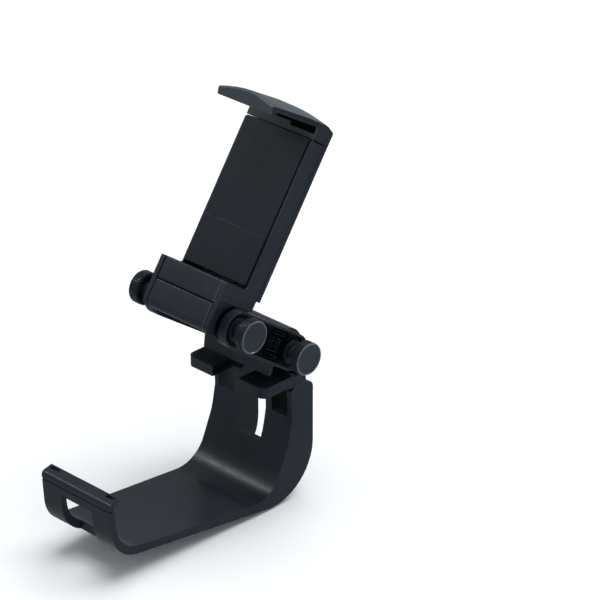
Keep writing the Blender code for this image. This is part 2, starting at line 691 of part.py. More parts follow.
def make_jaw():
    """Spring jaw: plate behind the holder, guide tongue, yoke and hook."""
    half = JAW_WIDTH / 2
    plate_front = HOLDER_DEPTH + CLEARANCE
    plate_back = plate_front + JAW_PLATE
    rest = HOLDER_TOP + 2 * CLEARANCE
    front_top = JAW_TOP - JAW_FALL
    lip_low = front_top - JAW_LIP
    hook = make_slab("jaw_hook", rounded([
        (plate_back, rest, 0),
        (plate_back, JAW_TOP - 1.6 * MM, 1.0 * MM),
        (JAW_PEAK, JAW_TOP, 6.0 * MM),
        (-JAW_REACH, front_top, 0.9 * MM),
        (-JAW_REACH, lip_low, 0.5 * MM),
        (-JAW_REACH + JAW_LIP_WALL, lip_low, 0.4 * MM),
        (-JAW_REACH + JAW_LIP_WALL + 0.2 * MM, front_top - JAW_WALL, 0.7 * MM),
        (0.5 * MM, JAW_TOP - JAW_FALL * 0.3 - JAW_WALL, 1.5 * MM),
        (0.5 * MM, rest, 0),
    ]), -half, half, jaw_pivot)
    shape_hook(hook)
    jaw = make_block("upper_jaw", (-half + 0.02 * MM, plate_front, JAW_PLATE_BOTTOM),
                     (half - 0.02 * MM, plate_back - 0.02 * MM, rest + 2 * MM), jaw_pivot)
    yoke_back = WEB_FRONT - CLEARANCE
    tongue_half = GUIDE_SLOT / 2 - CLEARANCE
    tongue = make_block("jaw_tongue", (-tongue_half, yoke_back - 1 * MM, TONGUE_BOTTOM),
                        (tongue_half, plate_front + 1 * MM, TONGUE_BOTTOM + TONGUE_HEIGHT), jaw_pivot)
    yoke_low = TONGUE_BOTTOM + (TONGUE_HEIGHT - YOKE_HEIGHT) / 2
    yoke = make_block("jaw_yoke", (-YOKE_WIDTH / 2, yoke_back - YOKE_WALL, yoke_low),
                      (YOKE_WIDTH / 2, yoke_back, yoke_low + YOKE_HEIGHT), jaw_pivot)
    add(jaw, hook, tongue, yoke)
    paint(jaw, plastic_light)


def make_spring(name, side):
    """Coil between the holder's foot and the jaw's yoke."""
    low = CREASE_UP + 2 * CLEARANCE + SPRING_WIRE
    high = TONGUE_BOTTOM + (TONGUE_HEIGHT - YOKE_HEIGHT) / 2 - CLEARANCE - 2 * SPRING_WIRE
    front = PANEL_BACK + CLEARANCE
    back = WEB_FRONT - CLEARANCE
    middle = (front + back) / 2
    radius = (back - front) / 2 - SPRING_WIRE
    curve = bpy.data.curves.new(name, "CURVE")
    curve.dimensions = "3D"
    curve.bevel_depth = SPRING_WIRE
    curve.bevel_resolution = 1
    curve.use_fill_caps = True
    per_turn = 8
    count = SPRING_TURNS * per_turn
    spline = curve.splines.new("POLY")
    spline.points.add(count)
    for index, point in enumerate(spline.points):
        angle = 2 * math.pi * index / per_turn
        point.co = (side * SPRING_OUT + radius * math.cos(angle), middle + radius * math.sin(angle),
                    low + (high - low) * index / count, 1.0)
    spring = bpy.data.objects.new(name, curve)
    parts.objects.link(spring)
    spring.parent = holder_pivot
    curve.materials.append(steel)


clear_scene()
parts = new_collection("controller_phone_clip")
cutters = new_collection("cutters")
plastic = make_material("moulded_plastic", (0.021, 0.023, 0.028), 0.42)
plastic_light = make_material("moulded_plastic_light", (0.035, 0.038, 0.045), 0.38)
steel = make_material("steel", (0.55, 0.56, 0.58), 0.3, 1.0)

lower_pivot = make_pivot("lower_hinge", (0, HINGE_BACK, HINGE_RISE))
arm_pivot = make_pivot("arm_pivot", (0, 0, 0), -ARM_RISE, lower_pivot)
holder_pivot = make_pivot("upper_hinge", (0, -ARM_LENGTH, 0), 0.0, arm_pivot)
jaw_pivot = make_pivot("jaw_guide", (0, 0, 0), 0.0, holder_pivot)

make_bracket()
make_arm()
make_holder()
make_foot()
make_jaw()
make_spring("jaw_spring_left", -1)
make_spring("jaw_spring_right", 1)
for end_name, end_side in (("left", -1), ("right", 1)):
    make_clamp("lower", end_name, end_side, HEAD_HALF, lower_pivot)
    make_clamp("upper", end_name, end_side, CORE_HALF, holder_pivot)
bpy.context.view_layer.update()
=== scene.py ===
"""Studio picture of the clip that holds a phone above a game controller."""
import json
import math

import bmesh
import bpy
from mathutils import Matrix, Vector

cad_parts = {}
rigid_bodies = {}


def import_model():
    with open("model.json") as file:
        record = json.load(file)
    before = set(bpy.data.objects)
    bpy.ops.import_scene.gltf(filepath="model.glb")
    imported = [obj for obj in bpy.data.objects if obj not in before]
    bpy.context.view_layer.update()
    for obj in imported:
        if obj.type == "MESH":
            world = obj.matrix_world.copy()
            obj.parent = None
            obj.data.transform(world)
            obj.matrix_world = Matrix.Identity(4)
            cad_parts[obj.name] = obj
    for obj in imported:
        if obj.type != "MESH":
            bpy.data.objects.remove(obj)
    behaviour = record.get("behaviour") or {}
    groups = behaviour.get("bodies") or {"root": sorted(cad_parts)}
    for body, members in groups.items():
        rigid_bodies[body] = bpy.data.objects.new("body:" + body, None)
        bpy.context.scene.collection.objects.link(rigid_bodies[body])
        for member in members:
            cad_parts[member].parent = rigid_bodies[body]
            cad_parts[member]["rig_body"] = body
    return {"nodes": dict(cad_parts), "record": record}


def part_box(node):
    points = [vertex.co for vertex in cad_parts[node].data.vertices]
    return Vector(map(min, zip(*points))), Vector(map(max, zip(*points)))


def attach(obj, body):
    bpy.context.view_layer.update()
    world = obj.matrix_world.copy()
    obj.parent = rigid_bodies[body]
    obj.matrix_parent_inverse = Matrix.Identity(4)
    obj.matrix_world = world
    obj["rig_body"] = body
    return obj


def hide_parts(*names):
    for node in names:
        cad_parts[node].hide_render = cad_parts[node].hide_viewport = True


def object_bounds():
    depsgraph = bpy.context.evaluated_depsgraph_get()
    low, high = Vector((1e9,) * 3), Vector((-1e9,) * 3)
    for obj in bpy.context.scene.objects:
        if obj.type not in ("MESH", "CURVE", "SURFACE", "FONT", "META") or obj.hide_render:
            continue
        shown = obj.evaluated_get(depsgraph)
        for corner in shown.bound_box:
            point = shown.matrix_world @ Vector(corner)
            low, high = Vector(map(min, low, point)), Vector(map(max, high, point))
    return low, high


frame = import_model()
cad_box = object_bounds()
scene = bpy.context.scene
MM = 0.001


# Camera: a long lens in front of the clip, above it and to its right, at the
# photograph's angle. Its place is counted from the lower hinge: so far away, and so
# far to the side and up that the clip stands at the picture's left.
lower_hinge = Vector((0, 46.0, 55.5)) * MM
backwards = Vector((0.61835, -0.63920, 0.45725)).normalized()
rightwards = Vector((0, 0, 1)).cross(backwards).normalized()
upwards = backwards.cross(rightwards)
lens = bpy.data.cameras.new("camera")
picture_width, focal_pixels = 600, 3283
lens.sensor_width = 36.0
lens.lens = lens.sensor_width * focal_pixels / picture_width
lens.clip_end = 20.0
camera = bpy.data.objects.new("camera", lens)
scene.collection.objects.link(camera)
turned = Matrix((rightwards, upwards, backwards)).transposed().to_4x4()
distance, aside, above = 1235, 17.62, 12.81
stand = lower_hinge + (distance * backwards + aside * rightwards + above * upwards) * MM
camera.matrix_world = Matrix.Translation(stand) @ turned
scene.camera = camera


# Studio: white paper under the clip, a wide soft box above it and weak ones in front
# and at the right, as for a catalogue picture. The sky is dim and the paper isn't
# mirrored in the plastic, so that black stays black.
scene.view_settings.view_transform = "Standard"
floor_mesh = bpy.data.meshes.new("studio_floor")
floor_half = 4
floor_mesh.from_pydata([(-floor_half, -floor_half, 0), (floor_half, -floor_half, 0), (floor_half, floor_half, 0),
                        (-floor_half, floor_half, 0)], [], [(0, 1, 2, 3)])
floor = bpy.data.objects.new("studio_floor", floor_mesh)
floor.location.z = cad_box[0][2] - 0.2 * MM
floor.visible_glossy = False
scene.collection.objects.link(floor)
paper = bpy.data.materials.new("studio_paper")
paper.use_nodes = True
paper_shader = paper.node_tree.nodes["Principled BSDF"]
paper_shader.inputs["Base Color"].default_value = (0.95, 0.95, 0.95, 1)
paper_shader.inputs["Roughness"].default_value = 0.9
floor_mesh.materials.append(paper)

sky = bpy.data.worlds.new("studio_sky")
sky.use_nodes = True
sky_glow = sky.node_tree.nodes["Background"]
sky_glow.inputs["Color"].default_value = (0.88, 0.95, 1.0, 1)
sky_glow.inputs["Strength"].default_value = 0.38
scene.world = sky


def soft_box(name, place, target, width, height, power, tint):
    """Rectangular studio lamp aimed at a point."""
    lamp = bpy.data.lights.new(name, "AREA")
    lamp.shape = "RECTANGLE"
    lamp.size, lamp.size_y = width, height
    lamp.energy = power
    lamp.color = tint
    holder = bpy.data.objects.new(name, lamp)
    scene.collection.objects.link(holder)
    holder.location = place
    holder.rotation_euler = (Vector(target) - Vector(place)).to_track_quat("-Z", "Y").to_euler()
    return holder


aim = (0, 0.02, 0.07)
cool = (0.92, 0.97, 1.0)
soft_box("top_box", (0.0, 0.15, 1.2), aim, 1.3, 1.0, 3.4, (0.95, 0.98, 1.0))
soft_box("front_box", (-0.7, -1.0, 0.75), aim, 1.0, 0.8, 0.6, (0.90, 0.96, 1.0))
soft_box("right_box", (1.05, -0.25, 0.30), aim, 0.5, 0.5, 1.7, cool)
edge_strip = soft_box("edge_strip", (0.55, 0.80, 0.80), aim, 0.10, 0.9, 16.0, cool)
front_strip = soft_box("front_strip", (-0.75, -0.30, 0.95), aim, 0.08, 0.9, 5.0, cool)
# The two strips only draw gleams along the edges and bends.
for strip in (edge_strip, front_strip):
    strip.visible_diffuse = False
daylight = bpy.data.lights.new("daylight", "SUN")
daylight.energy = 1.9
daylight.angle = math.radians(60)
high_window = bpy.data.objects.new("daylight", daylight)
high_window.rotation_euler = (math.radians(-18), math.radians(5), 0)
scene.collection.objects.link(high_window)


# Bracket: the moulded C that wraps the controller, with ribs behind it and the
# lower hinge's barrel on top. It is one injection moulding in black ABS, drawn from
# its side view, tapered towards the lip, then cut from behind and from the front.
def new_group(name, inputs, outputs):
    """Shader node group with its sockets, and its two end nodes."""
    group = bpy.data.node_groups.new(name, "ShaderNodeTree")
    for label, kind, value in inputs:
        socket = group.interface.new_socket(label, in_out="INPUT", socket_type=kind)
        socket.default_value = value
    for label, kind in outputs:
        group.interface.new_socket(label, in_out="OUTPUT", socket_type=kind)
    return group, group.nodes.new("NodeGroupInput"), group.nodes.new("NodeGroupOutput")


def noise(group, coordinates, scale, detail):
    """Noise at a scale in cells for each metre."""
    cells = group.nodes.new("ShaderNodeTexNoise")
    cells.inputs["Scale"].default_value = scale
    cells.inputs["Detail"].default_value = detail
    group.links.new(coordinates, cells.inputs["Vector"])
    return cells.outputs["Fac"]


def remap(group, value, low, high, source):
    """Value stretched from one range to another."""
    ranged = group.nodes.new("ShaderNodeMapRange")
    ranged.inputs["From Min"].default_value = source[0]
    ranged.inputs["From Max"].default_value = source[1]
    for label, end in (("To Min", low), ("To Max", high)):
        if isinstance(end, (int, float)):
            ranged.inputs[label].default_value = end
        else:
            group.links.new(end, ranged.inputs[label])
    group.links.new(value, ranged.inputs["Value"])
    return ranged.outputs["Result"]


skin, skin_in, skin_out = new_group(
    "moulded_skin",
    [("Tint", "NodeSocketColor", (0.02, 0.022, 0.027, 1)), ("Gloss Low", "NodeSocketFloat", 0.4),
     ("Gloss High", "NodeSocketFloat", 0.5), ("Texture", "NodeSocketFloat", 0.3)],
    [("Color", "NodeSocketColor"), ("Roughness", "NodeSocketFloat"), ("Normal", "NodeSocketVector")])
where = skin.nodes.new("ShaderNodeTexCoord").outputs["Object"]
# Noise stays mostly between these two levels.
usual = (0.3, 0.7)
cloud = remap(skin, noise(skin, where, 55, 3), 0.86, 1.14, usual)
shade = skin.nodes.new("ShaderNodeVectorMath")
shade.operation = "SCALE"
skin.links.new(skin_in.outputs["Tint"], shade.inputs[0])
skin.links.new(cloud, shade.inputs["Scale"])
skin.links.new(shade.outputs["Vector"], skin_out.inputs["Color"])
handling = noise(skin, where, 240, 4)
gloss = remap(skin, handling, skin_in.outputs["Gloss Low"], skin_in.outputs["Gloss High"], usual)
skin.links.new(gloss, skin_out.inputs["Roughness"])
spark = skin.nodes.new("ShaderNodeBump")
spark.inputs["Distance"].default_value = 0.02 * MM
skin.links.new(skin_in.outputs["Texture"], spark.inputs["Strength"])
skin.links.new(noise(skin, where, 5200, 2), spark.inputs["Height"])
skin.links.new(spark.outputs["Normal"], skin_out.inputs["Normal"])


def moulded(name, tint, gloss, texture, shine=0.25):
    """Moulded plastic: cloudy colour, uneven gloss and the mould's fine texture."""
    material = bpy.data.materials.new(name)
    material.use_nodes = True
    tree = material.node_tree
    shader = tree.nodes["Principled BSDF"]
    shader.inputs["IOR"].default_value = 1.5
    shader.inputs["Specular IOR Level"].default_value = shine
    surface = tree.nodes.new("ShaderNodeGroup")
    surface.node_tree = skin
    surface.inputs["Tint"].default_value = (*tint, 1)
    surface.inputs["Gloss Low"].default_value = gloss[0]
    surface.inputs["Gloss High"].default_value = gloss[1]
    surface.inputs["Texture"].default_value = texture
    tree.links.new(surface.outputs["Color"], shader.inputs["Base Color"])
    tree.links.new(surface.outputs["Roughness"], shader.inputs["Roughness"])
    tree.links.new(surface.outputs["Normal"], shader.inputs["Normal"])
    return material


def add_piece(name, mesh, material, body, finish, *nodes):
    """Object that rides on a body and stands for CAD nodes."""
    if not mesh.materials:
        mesh.materials.append(material)
    piece = bpy.data.objects.new(name, mesh)
    scene.collection.objects.link(piece)
    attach(piece, body)
    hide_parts(*nodes)
    return piece


def dressed(node, build, radius, material, sharp):
    """Piece that stands for a CAD node, welded, smooth on its curves and rounded on its edges."""
    bmesh.ops.remove_doubles(build, verts=build.verts, dist=0.002 * MM)
    bmesh.ops.dissolve_degenerate(build, edges=build.edges, dist=0.002 * MM)
    bmesh.ops.dissolve_limit(build, angle_limit=math.radians(0.6), verts=build.verts, edges=build.edges)
    bmesh.ops.recalc_face_normals(build, faces=build.faces)
    mesh = bpy.data.meshes.new(f"{node}_skin")
    build.to_mesh(mesh)
    build.free()
    mesh.shade_smooth()
    mesh.set_sharp_from_angle(angle=sharp)
    finish = next(part["material_slot"] for part in frame["record"]["subparts"] if part["node"] == node)
    piece = add_piece(f"{node}_skin", mesh, material, frame["nodes"][node]["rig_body"], finish, node)
    edges = piece.modifiers.new("rounded edges", "BEVEL")
    edges.width = radius
    edges.segments = 3
    edges.limit_method = "ANGLE"
    edges.angle_limit = sharp
    edges.harden_normals = True
    return piece


def rounded(corners, step=math.radians(7)):
    """Outline points from corners (across, up, radius), with each radius drawn as an arc."""
    points = []
    for index, (across, up, radius) in enumerate(corners):
        here = Vector((across, up))
        before = Vector(corners[index - 1][:2]) - here
        after = Vector(corners[(index + 1) % len(corners)][:2]) - here
        if radius <= 0:
            points.append(here)
            continue
        half = before.angle(after) / 2
        reach = min(radius / math.tan(half), 0.48 * before.length, 0.48 * after.length)
        middle = here + (before.normalized() + after.normalized()).normalized() * (reach / math.cos(half))
        start = here + before.normalized() * reach - middle
        end = here + after.normalized() * reach - middle
        sweep = math.atan2(start.x * end.y - start.y * end.x, start.dot(end))
        pieces = max(3, math.ceil(abs(sweep) / step))
        points += [middle + Matrix.Rotation(sweep * piece / pieces, 2) @ start for piece in range(pieces + 1)]
    return points


def arc(across, up, radius, start, end, pieces):
    """Points of an arc between two angles in degrees."""
    angles = [math.radians(start + (end - start) * index / pieces) for index in range(pieces + 1)]
    return [Vector((across + radius * math.cos(angle), up + radius * math.sin(angle))) for angle in angles]


def slab(outline, low, high, plan=False):
    """Solid of an outline in millimetres: in the side view, or in plan, from low to high across it."""
    build = bmesh.new()
    sides = []
    for level in (low, high):
        place = [(a, b, level) if plan else (level, a, b) for a, b in outline]
        sides.append([build.verts.new(Vector(point) * MM) for point in place])
    build.faces.new(sides[0])
    build.faces.new(reversed(sides[1]))
    count = len(outline)
    for index in range(count):
        after = (index + 1) % count
        build.faces.new((sides[0][after], sides[0][index], sides[1][index], sides[1][after]))
    bmesh.ops.recalc_face_normals(build, faces=build.faces)
    mesh = bpy.data.meshes.new("slab")
    build.to_mesh(mesh)
    build.free()
    return mesh


def block(low, high):
    """Box between two corners in millimetres."""
    (left, front, bottom), (right, back, top) = low, high
    return slab([(front, bottom), (back, bottom), (back, top), (front, top)], left, right)


def mesh_object(name, mesh):
    """Object of a mesh, linked into the scene."""
    item = bpy.data.objects.new(name, mesh)
    scene.collection.objects.link(item)
    return item


def shaped(first, *steps):
    """Mesh of a solid after others are added to it or cut from it, one after another."""
    target = mesh_object("blank", first)
    tools = []
    for operation, mesh in steps:
        tools.append(mesh_object("tool", mesh))
        step = target.modifiers.new(operation, "BOOLEAN")
        step.operation = operation
        step.solver = "EXACT"
        step.object = tools[-1]
    bpy.context.view_layer.update()
    result = bpy.data.meshes.new_from_object(target.evaluated_get(bpy.context.evaluated_depsgraph_get()))
    for item in (target, *tools):
        bpy.data.objects.remove(item, do_unlink=True)
    return result


def finished(node, mesh, place, radius, material, sharp=math.radians(30)):
    """Piece made of a mesh that is drawn round its hinge, set in its place."""
    build = bmesh.new()
    build.from_mesh(mesh)
    bmesh.ops.transform(build, matrix=place, verts=build.verts)
    return dressed(node, build, radius, material, sharp)


def cut_across(build, place, normal):
    """New edges where a plane crosses the mesh; the shape stays as it is."""
    bmesh.ops.bisect_plane(build, geom=build.verts[:] + build.edges[:] + build.faces[:], dist=0.001 * MM,
                           plane_co=place, plane_no=normal)


def gleaming(piece):
    """Rounded edges in a lighter plastic: a painted highlight along every bevel."""
    piece.data.materials.append(edge_highlight_plastic)
    piece.modifiers["rounded edges"].material = len(piece.data.materials) - 1


def span(side, near, far):
    """Range across the clip at its left (-1) or right (1), lower end first."""
    return sorted((side * near, side * far))


def crossing(start_a, dir_a, start_b, dir_b):
    """Where two lines of the side view cross."""
    offset = start_b - start_a
    return start_a + dir_a * ((offset.x * dir_b.y - offset.y * dir_b.x) / (dir_a.x * dir_b.y - dir_a.y * dir_b.x))


def leaning(angle):
    """Direction downwards and leaning back by an angle in degrees."""
    return Vector((math.sin(math.radians(angle)), -math.cos(math.radians(angle))))


# Sizes in millimetres, counted from the lower hinge in the side view.
lip_front, lip_top, lip_wall, flange = 92.0, 28.4, 2.2, 5.5
rear_face, wall_top, skin_wall = 11.1, 15.7, 2.4
floor_wall, front_bend, rear_bend, inner_bend = 3.35, 18.0, 32.5, 14.0
knee, crease = Vector((-2.2, -38.5)), Vector((-0.3, -28.7))
seat, floor_slope, rear_slope = Vector((-46.0, -54.6)), math.radians(7.3), -23.5
along_floor = Vector((math.cos(floor_slope), -math.sin(floor_slope)))
below_floor = Vector((-math.sin(floor_slope), -math.cos(floor_slope)))
upright = Vector((0, 1))
rear_half, wall_inner, lip_half = 20.6, 18.4, 18.1
strip_front, strip_back, tab_reach, tab_top, tab_wall = -0.8, 3.2, 15.0, 10.5, 4.3
rib_inner, rib_outer, slot_half, slot_foot = 8.5, 10.0, 6.75, -42.0
taper_start, head_half, peg_place, nick_place, stud_bore = -18, 17.2, 14.8, 10.8, 1.8

lip_corner = Vector((-lip_front, -lip_top))
lip_inner = lip_corner + Vector((lip_wall, -1.1))
front_low = crossing(lip_corner, leaning(4.1), seat + below_floor * floor_wall, along_floor)
rear_low = crossing(Vector((rear_face, 0)), upright, seat + below_floor * floor_wall, along_floor)
inner_rear = crossing(knee, leaning(rear_slope), seat, along_floor)
inner_front = crossing(lip_inner, leaning(6.0), seat, along_floor)
side_view = rounded([
    (*lip_corner, 1.6), (*front_low, front_bend), (*rear_low, rear_bend), (rear_face, -wall_top, 3.0),
    (strip_front, -wall_top, 2.4), (*crease, 0), (*knee, 30.0), (*inner_rear, inner_bend),
    (*inner_front, front_bend - lip_wall), (*lip_inner, 0.5), (-lip_front + flange, -lip_top + 0.13, 0.3),
    (-lip_front + flange, -lip_top + 0.9, 0.5)])
knee_line = knee - crease
knee_start = crease + Vector((-knee_line.y, knee_line.x)).normalized() * skin_wall
rear_line = leaning(rear_slope)
rear_start = knee + Vector((-rear_line.y, rear_line.x)) * skin_wall
floor_start = seat + below_floor * skin_wall
channel_front = crossing(Vector((-22, 0)), upright, floor_start, along_floor)
channel = rounded([
    (strip_back, 4, 0), (strip_back, -18.4, 0), (crease.x + skin_wall, crease.y, 0),
    (*crossing(knee_start, knee_line, rear_start, rear_line), 32.4),
    (*crossing(rear_start, rear_line, floor_start, along_floor), inner_bend + skin_wall),
    (*channel_front, 0), (channel_front.x, channel_front.y - 20, 0),
    (rear_face + 20, channel_front.y - 20, 0), (rear_face + 20, -18.4, 0), (rear_face - 2.8, -18.4, 0),
    (rear_face - 2.8, 4, 0)])

blank = slab(side_view, -rear_half, rear_half)
build = bmesh.new()
build.from_mesh(blank)
cut_across(build, (0, taper_start * MM, 0), (0, 1, 0))
for vert in build.verts:
    forward = max(0.0, taper_start - vert.co.y / MM) / (lip_front + taper_start)
    vert.co.x *= 1 - (1 - lip_half / rear_half) * forward
build.to_mesh(blank)
build.free()

tab_half = rear_half - 0.2
strip = rounded([(strip_front, -tab_top, 0), (strip_front + 0.05, -18.4, 0), (strip_back, -18.3, 0),
                 (strip_back, -tab_top, 3.0)])
tabs = rounded([(-tab_half, -tab_reach, 3.0), (tab_half, -tab_reach, 3.0), (tab_half, strip_front + 1, 0),
                (-tab_half, strip_front + 1, 0)])
under_tab = -tab_top - tab_wall
head = arc(0, 0, 8.3, 0, 180, 30) + [
    Vector(point) for point in ((-9.3, -8.0), (-7.8, -8.0), (-6.8, -5.0), (5.7, -5.0),
                                (rear_face - 2.7, -17.05), (rear_face - 0.2, -17.05))]
steps = [("DIFFERENCE", slab(channel, -rib_inner, rib_inner))]
for side in (-1, 1):
    steps.append(("DIFFERENCE", slab(channel, *span(side, rib_outer, wall_inner))))
steps += [("UNION", slab(strip, -wall_inner - 0.3, wall_inner + 0.3)),
          ("UNION", slab(tabs, under_tab, -tab_top, plan=True))]
for side in (-1, 1):
    # Side window, and the web that closes the corner between tab, strip and side wall.
    low, high = span(side, rib_outer, wall_inner)
    steps.append(("DIFFERENCE", block((low, -20, crease.y + 0.2), (high, strip_back + 1, under_tab))))
    corner = rounded([(-3.6, under_tab, 0), (6.0, -17.0, 0), (6.0, -tab_top - 1.6, 1.6),
                      (-3.6, -tab_top - 0.1, 0)])
    steps.append(("UNION", slab(corner, *span(side, wall_inner - 0.4, rear_half - 0.5))))
steps.append(("UNION", slab(head, -head_half, head_half)))
# Split line that the mould leaves across the floor, where the bend begins.
seam, seam_half = seat + along_floor * 24.2, 0.12
split = [seam - along_floor * seam_half - below_floor, seam + along_floor * seam_half - below_floor,
         seam + along_floor * seam_half + below_floor * seam_half,
         seam - along_floor * seam_half + below_floor * seam_half]
steps.append(("DIFFERENCE", slab(split, -18.6, 19.4)))
# Cable slot, and the lip's window, which is open through the bend below it.
steps.append(("DIFFERENCE", block((-slot_half, -20, slot_foot), (slot_half, strip_back + 2, -tab_top + 1))))
steps.append(("DIFFERENCE", block((-8.2, -lip_front - 4, -62), (8.2, -82.5, -35.0))))
# Blind holes in the lip's top, each with a peg in it, and a nick in the lip's front below.
for side in (-1, 1):
    hole, nick, line = side * peg_place, side * nick_place, -lip_front + 3.85
    steps.append(("DIFFERENCE", block((hole - 2.2, line - 0.75, -lip_top - 0.2),
                                      (hole + 2.2, line + 0.75, -lip_top + 4))))
    steps.append(("UNION", block((hole + 0.3, line - 0.75, -lip_top - 0.4),
                                 (hole + 1.3, line + 0.75, -lip_top + 0.2))))
    steps.append(("DIFFERENCE", block((nick - 0.75, -lip_front + 1.7, -41.0),
                                      (nick + 0.75, -lip_front + 8.5, -39.5))))
# Groove under the lip's cap, right round its front and ends.
for back, low, high in ((-lip_front + 0.55, -30, 30), (-84, 17.35, 30), (-84, -30, -17.35)):
    steps.append(("DIFFERENCE", block((low, -lip_front - 3, -lip_top - 3.3), (high, back, -lip_top - 2.8))))
# Bores for the lower studs and slots for their nuts.
for side in (-1, 1):
    steps.append(("DIFFERENCE", slab(arc(0, 0, stud_bore, 0, 350, 35), *span(side, 5.0, 22.0))))
    low, high = span(side, 12.1, 15.1)
    steps.append(("DIFFERENCE", block((low, -3.05, -7.5), (high, 3.05, 3.5))))
bracket_place = Matrix.Translation(lower_hinge)
bracket_plastic = moulded("bracket_plastic", (0.0120, 0.0162, 0.0235), (0.27, 0.35), 0.07)
bracket = finished("controller_bracket", shaped(blank, *steps), bracket_place, 0.4 * MM, bracket_plastic)
# Painted shade: a near-black copy of the plastic deep in the slots, on the ribs' sides, on the strip above the tabs
# and under the head's barrel, where shade falls.
painted_shade_plastic = moulded("painted_shade_plastic", (0.0016, 0.0021, 0.0030), (0.30, 0.38), 0.1, 0.05)
bracket.data.materials.append(painted_shade_plastic)
slot_shade, rib_shade = -17, -40
build = bmesh.new()
build.from_mesh(bracket.data)
for level in (slot_shade, rib_shade):
    cut_across(build, lower_hinge + Vector((0, 0, level)) * MM, (0, 0, 1))
for face in build.faces:
    spot = (face.calc_center_median() - lower_hinge) / MM
    across, facing_side = abs(spot.x), abs(face.normal.x) > 0.7
    above_tabs = slot_shade < spot.z < -5.1 and across < wall_inner + 0.1 and face.normal.y < -0.4
    slot_side = 6.6 < across < 8.6 and slot_shade < spot.z < -8 and facing_side
    rib_side = 9.8 < across < 10.2 and rib_shade < spot.z < -10 and facing_side
    under_head = -10.4 < spot.z < -7.0 and across < 17.3 and face.normal.y < 0.3 and abs(face.normal.z) < 0.9
    # Faces where shade falls get the painted shade.
    if (above_tabs or slot_side or rib_side) if spot.y > -1.2 else under_head:
        face.material_index = 1
build.to_mesh(bracket.data)
build.free()
# Painted highlight: a lighter copy of the plastic that the rounded edges carry.
edge_highlight_plastic = moulded("edge_highlight_plastic", (0.0700, 0.0830, 0.1000), (0.22, 0.30), 0.03)
gleaming(bracket)


# Arm: the H-shaped link between the two hinges, moulded in the same plastic. Each
# side plate is dished for the knobs' washers, with a pocket round a peg between two
# slots, and its inner pads stop the holder's cheeks.
arm_length, arm_inner, arm_outer, arm_radius, arm_lean = 34.8, 17.6, 21.2, 7.2, math.radians(-35)
dish_floor, pocket_depth, outside = 19.6, 1.1, 24


def bar_outline(radius):
    """Outline of a round-ended bar from the hinge forwards."""
    return arc(0, 0, radius, -90, 90, 24) + arc(-arm_length, 0, radius, 90, 270, 24)


steps = [("UNION", block((-18.1, -20.0, 3.45), (18.1, -9.0, 7.05))),
         ("UNION", slab(bar_outline(arm_radius), arm_inner, arm_outer))]
for side in (-1, 1):
    # Inner pad, then the dish, the pocket with its peg, the two slots and the stud bores.
    pad = arc(-arm_length, 0, 7.1, 97, 263, 24) + [Vector((-25.8, -7.1)), Vector((-25.8, 7.1))]
    steps.append(("UNION", slab(pad, *span(side, 15.8, 18.1))))
    steps.append(("DIFFERENCE", slab(bar_outline(arm_radius - 0.9), *span(side, dish_floor, outside))))
    low, high = span(side, dish_floor - pocket_depth, outside)
    steps.append(("DIFFERENCE", block((low, -14.4, -2.45), (high, -8.2, 2.45))))
    peg_low, peg_high = span(side, dish_floor - pocket_depth - 0.3, dish_floor - 0.1)
    steps.append(("UNION", block((peg_low, -12.5, -1.4), (peg_high, -10.1, 1.4))))
    for edge in (-1, 1):
        steps.append(("DIFFERENCE", block((low, -13.0, edge * 4.6 - 0.55), (high, -7.0, edge * 4.6 + 0.55))))
    for hinge_line in (0, -arm_length):
        steps.append(("DIFFERENCE", slab(arc(hinge_line, 0, stud_bore, 0, 350, 35), *span(side, 14.5, outside))))
arm_plastic = moulded("arm_plastic", (0.0100, 0.0135, 0.0200), (0.28, 0.36), 0.12)
arm_place = Matrix.Translation(lower_hinge) @ Matrix.Rotation(arm_lean, 4, "X")
arm = finished("arm_frame", shaped(slab(bar_outline(arm_radius), -arm_outer, -arm_inner), *steps), arm_place,
               0.3 * MM, arm_plastic)
# Painted shade: a near-black copy of the plastic in the dishes and round the arm's upper end, where shade falls.
dish_shade_plastic = moulded("dish_shade_plastic", (0.0012, 0.0016, 0.0024), (0.22, 0.28), 0.1, 0.06)
arm.data.materials.append(dish_shade_plastic)
for face in arm.data.polygons:
    spot = arm_place.inverted() @ face.center / MM
    from_upper_end = (spot.yz + Vector((arm_length, 0))).length
    if dish_floor - 1.5 < abs(face.center.x) / MM < dish_floor + 0.02:
        between = abs(spot.z) < 6.3 and -arm_length < spot.y < 0
        if min(spot.yz.length, from_upper_end) < 6.4 or between:
            face.material_index = 1
    elif abs(face.normal.x) < 0.3 and spot.y < -arm_length - 0.5 and from_upper_end > 6.9:
        face.material_index = 1
gleaming(arm)


# Phone holder: hinge core, cheeks and back web in one moulding, with the shelf that
# the phone stands on and the rounded cover over the hinge core clipped to its front.
def rounded_copy(node, radius, material, sharp=math.radians(32)):
    """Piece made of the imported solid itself."""
    source = frame["nodes"][node].data
    build = bmesh.new()
    corners = [build.verts.new(vert.co) for vert in source.vertices]
    for face in source.polygons:
        build.faces.new([corners[index] for index in face.vertices])
    return dressed(node, build, radius, material, sharp)


holder_plastic = moulded("holder_plastic", (0.0120, 0.0165, 0.0250), (0.27, 0.35), 0.07)
for node, radius in (("holder_body", 0.3), ("shelf_block", 0.3), ("barrel_cover", 0.25)):
    gleaming(rounded_copy(node, radius * MM, holder_plastic))


